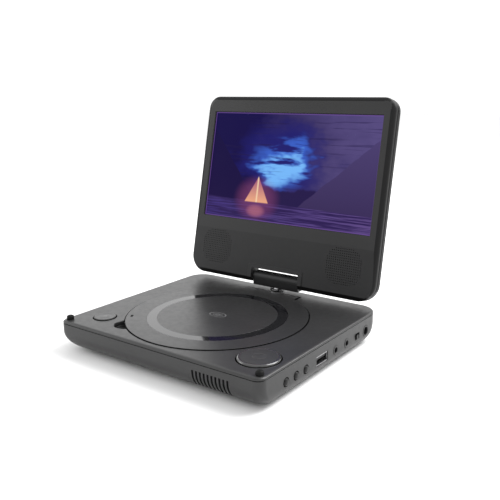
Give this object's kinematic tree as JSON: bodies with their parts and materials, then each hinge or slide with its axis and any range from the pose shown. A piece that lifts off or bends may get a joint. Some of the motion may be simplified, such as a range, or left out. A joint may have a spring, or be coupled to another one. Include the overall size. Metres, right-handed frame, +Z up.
{
  "type": "portable dvd player",
  "caption": "Portable disc player: flat base with round disc lid, round navigation pad and side sockets, and a screen with speakers on a post hinge that tilts and swivels",
  "frame": {"origin": "under the middle of the open player's bounding box, on the surface its feet rest on", "axes": "+X towards the side with the sockets, +Y from the front edge towards the hinge, +Z up"},
  "size_m": [0.1729, 0.179, 0.1731],
  "materials": {
    "case_plastic": "fine satin texture",
    "lid_plastic": "fine satin texture",
    "screen_plastic": "satin",
    "gloss_black": "polished",
    "button_plastic": "satin",
    "inner_plastic": "moulded",
    "rubber_black": "matt",
    "steel": "brushed",
    "bright_steel": "polished",
    "board_green": "solder resist",
    "chip_black": "moulded",
    "battery_wrap": "shrink wrap",
    "display": "smooth",
    "backlight_film": "film",
    "cone_paper": "pressed fibre",
    "lens_glass": "coated"
  },
  "bodies": {
    "base": {"bottom_case": "case_plastic", "top_cover": "case_plastic", "rubber_feet": "rubber_black", "case_screws": "steel", "lid_bumpers": "rubber_black", "drive_deck": "inner_plastic", "deck_dampers": "rubber_black", "deck_screws": "steel", "spindle_motor": "steel", "sled_rails": "bright_steel", "sled_motor": "steel", "main_board": "board_green", "main_chips": "chip_black", "usb_shell": "bright_steel", "usb_tongue": "inner_plastic", "headphone_jack": "inner_plastic", "av_jack": "inner_plastic", "power_switch_body": "inner_plastic", "dc_jack": "inner_plastic", "dc_pin": "steel", "side_switches": "steel", "key_board": "board_green", "nav_switches": "steel", "battery_pack": "battery_wrap", "disc_lid_pins": "bright_steel", "swivel_bush": "inner_plastic", "open_button_spring": "bright_steel"},
    "spindle": {"spindle_shaft": "bright_steel", "spindle_hub": "inner_plastic", "hub_balls": "bright_steel"},
    "lead_screw": {"lead_screw": "bright_steel"},
    "sled": {"laser_sled": "inner_plastic", "laser_lens": "lens_glass"},
    "disc_lid": {"disc_lid": "lid_plastic", "disc_lid_ring": "gloss_black"},
    "open_button": {"open_button": "button_plastic"},
    "lid_latch": {"lid_latch": "inner_plastic"},
    "nav_rocker": {"nav_rocker": "inner_plastic"},
    "nav_pad": {"nav_pad": "button_plastic"},
    "side_button_1": {"side_button_1": "button_plastic"},
    "side_button_2": {"side_button_2": "button_plastic"},
    "side_button_3": {"side_button_3": "button_plastic"},
    "power_slider": {"power_slider": "inner_plastic"},
    "swivel": {"hinge_housing": "screen_plastic", "swivel_post": "steel", "swivel_clip": "bright_steel", "hinge_shafts": "bright_steel"},
    "screen": {"screen_bezel": "screen_plastic", "screen_back_cover": "screen_plastic", "lcd_panel": "display", "lcd_backlight": "backlight_film", "screen_board": "board_green", "left_speaker": "steel", "right_speaker": "steel", "speaker_cones": "cone_paper", "hinge_brackets": "steel", "screen_screws": "steel"}
  },
  "joints": [
    {"name": "screen_swivel", "type": "hinge", "parent": "base", "child": "swivel", "pos_m": [0, 0.05363, 0.02], "axis": [0, 0, 1], "range_deg": [-180, 0]},
    {"name": "screen_tilt", "type": "hinge", "parent": "swivel", "child": "screen", "pos_m": [0, 0.05363, 0.0313], "axis": [-1, 0, 0], "range_deg": [-102.2, 77.8]},
    {"name": "disc_lid_hinge", "type": "hinge", "parent": "base", "child": "disc_lid", "pos_m": [0.0005, 0.04528, 0.0196], "axis": [-1, 0, 0], "range_deg": [0, 60]},
    {"name": "open_button_press", "type": "slide", "parent": "base", "child": "open_button", "axis": [0, 0, -1], "range_m": [0, 0.0012], "stiffness_N_per_m": 1500, "springref_m": -0.0006, "deforming": ["open_button_spring"]},
    {"name": "lid_latch_slide", "type": "slide", "parent": "base", "child": "lid_latch", "axis": [-0.7997, -0.6004, 0], "range_m": [0, 0.0012]},
    {"name": "nav_rock_sideways", "type": "hinge", "parent": "base", "child": "nav_rocker", "pos_m": [0.0675, -0.06522, 0.0176], "axis": [0, 1, 0], "range_deg": [-2.5, 2.5], "stiffness_Nm_per_rad": 0.4},
    {"name": "nav_rock_forward", "type": "hinge", "parent": "nav_rocker", "child": "nav_pad", "pos_m": [0.0675, -0.06522, 0.0176], "axis": [1, 0, 0], "range_deg": [-2.5, 2.5], "stiffness_Nm_per_rad": 0.4},
    {"name": "side_button_1_press", "type": "slide", "parent": "base", "child": "side_button_1", "axis": [-1, 0, 0], "range_m": [0, 0.0006], "stiffness_N_per_m": 2000, "springref_m": -0.0003},
    {"name": "side_button_2_press", "type": "slide", "parent": "base", "child": "side_button_2", "axis": [-1, 0, 0], "range_m": [0, 0.0006], "stiffness_N_per_m": 2000, "springref_m": -0.0003},
    {"name": "side_button_3_press", "type": "slide", "parent": "base", "child": "side_button_3", "axis": [-1, 0, 0], "range_m": [0, 0.0006], "stiffness_N_per_m": 2000, "springref_m": -0.0003},
    {"name": "power_slide", "type": "slide", "parent": "base", "child": "power_slider", "axis": [0, 1, 0], "range_m": [0, 0.0024]},
    {"name": "spindle_spin", "type": "hinge", "parent": "base", "child": "spindle", "pos_m": [-0.001, -0.01972, 0.01], "axis": [0, 0, 1], "continuous": true},
    {"name": "lead_screw_turn", "type": "hinge", "parent": "base", "child": "lead_screw", "pos_m": [-0.04, 0.00128, 0.0095], "axis": [1, 0, 0], "range_deg": [0, 5401]},
    {"name": "sled_slide", "type": "slide", "parent": "base", "child": "sled", "axis": [-1, 0, 0], "range_m": [0, 0.03]}
  ],
  "couplings": [
    {"joint": "lid_latch_slide", "follows": "open_button_press", "ratio": 1},
    {"joint": "lead_screw_turn", "follows": "sled_slide", "rad_per_m": 3141.6}
  ]
}
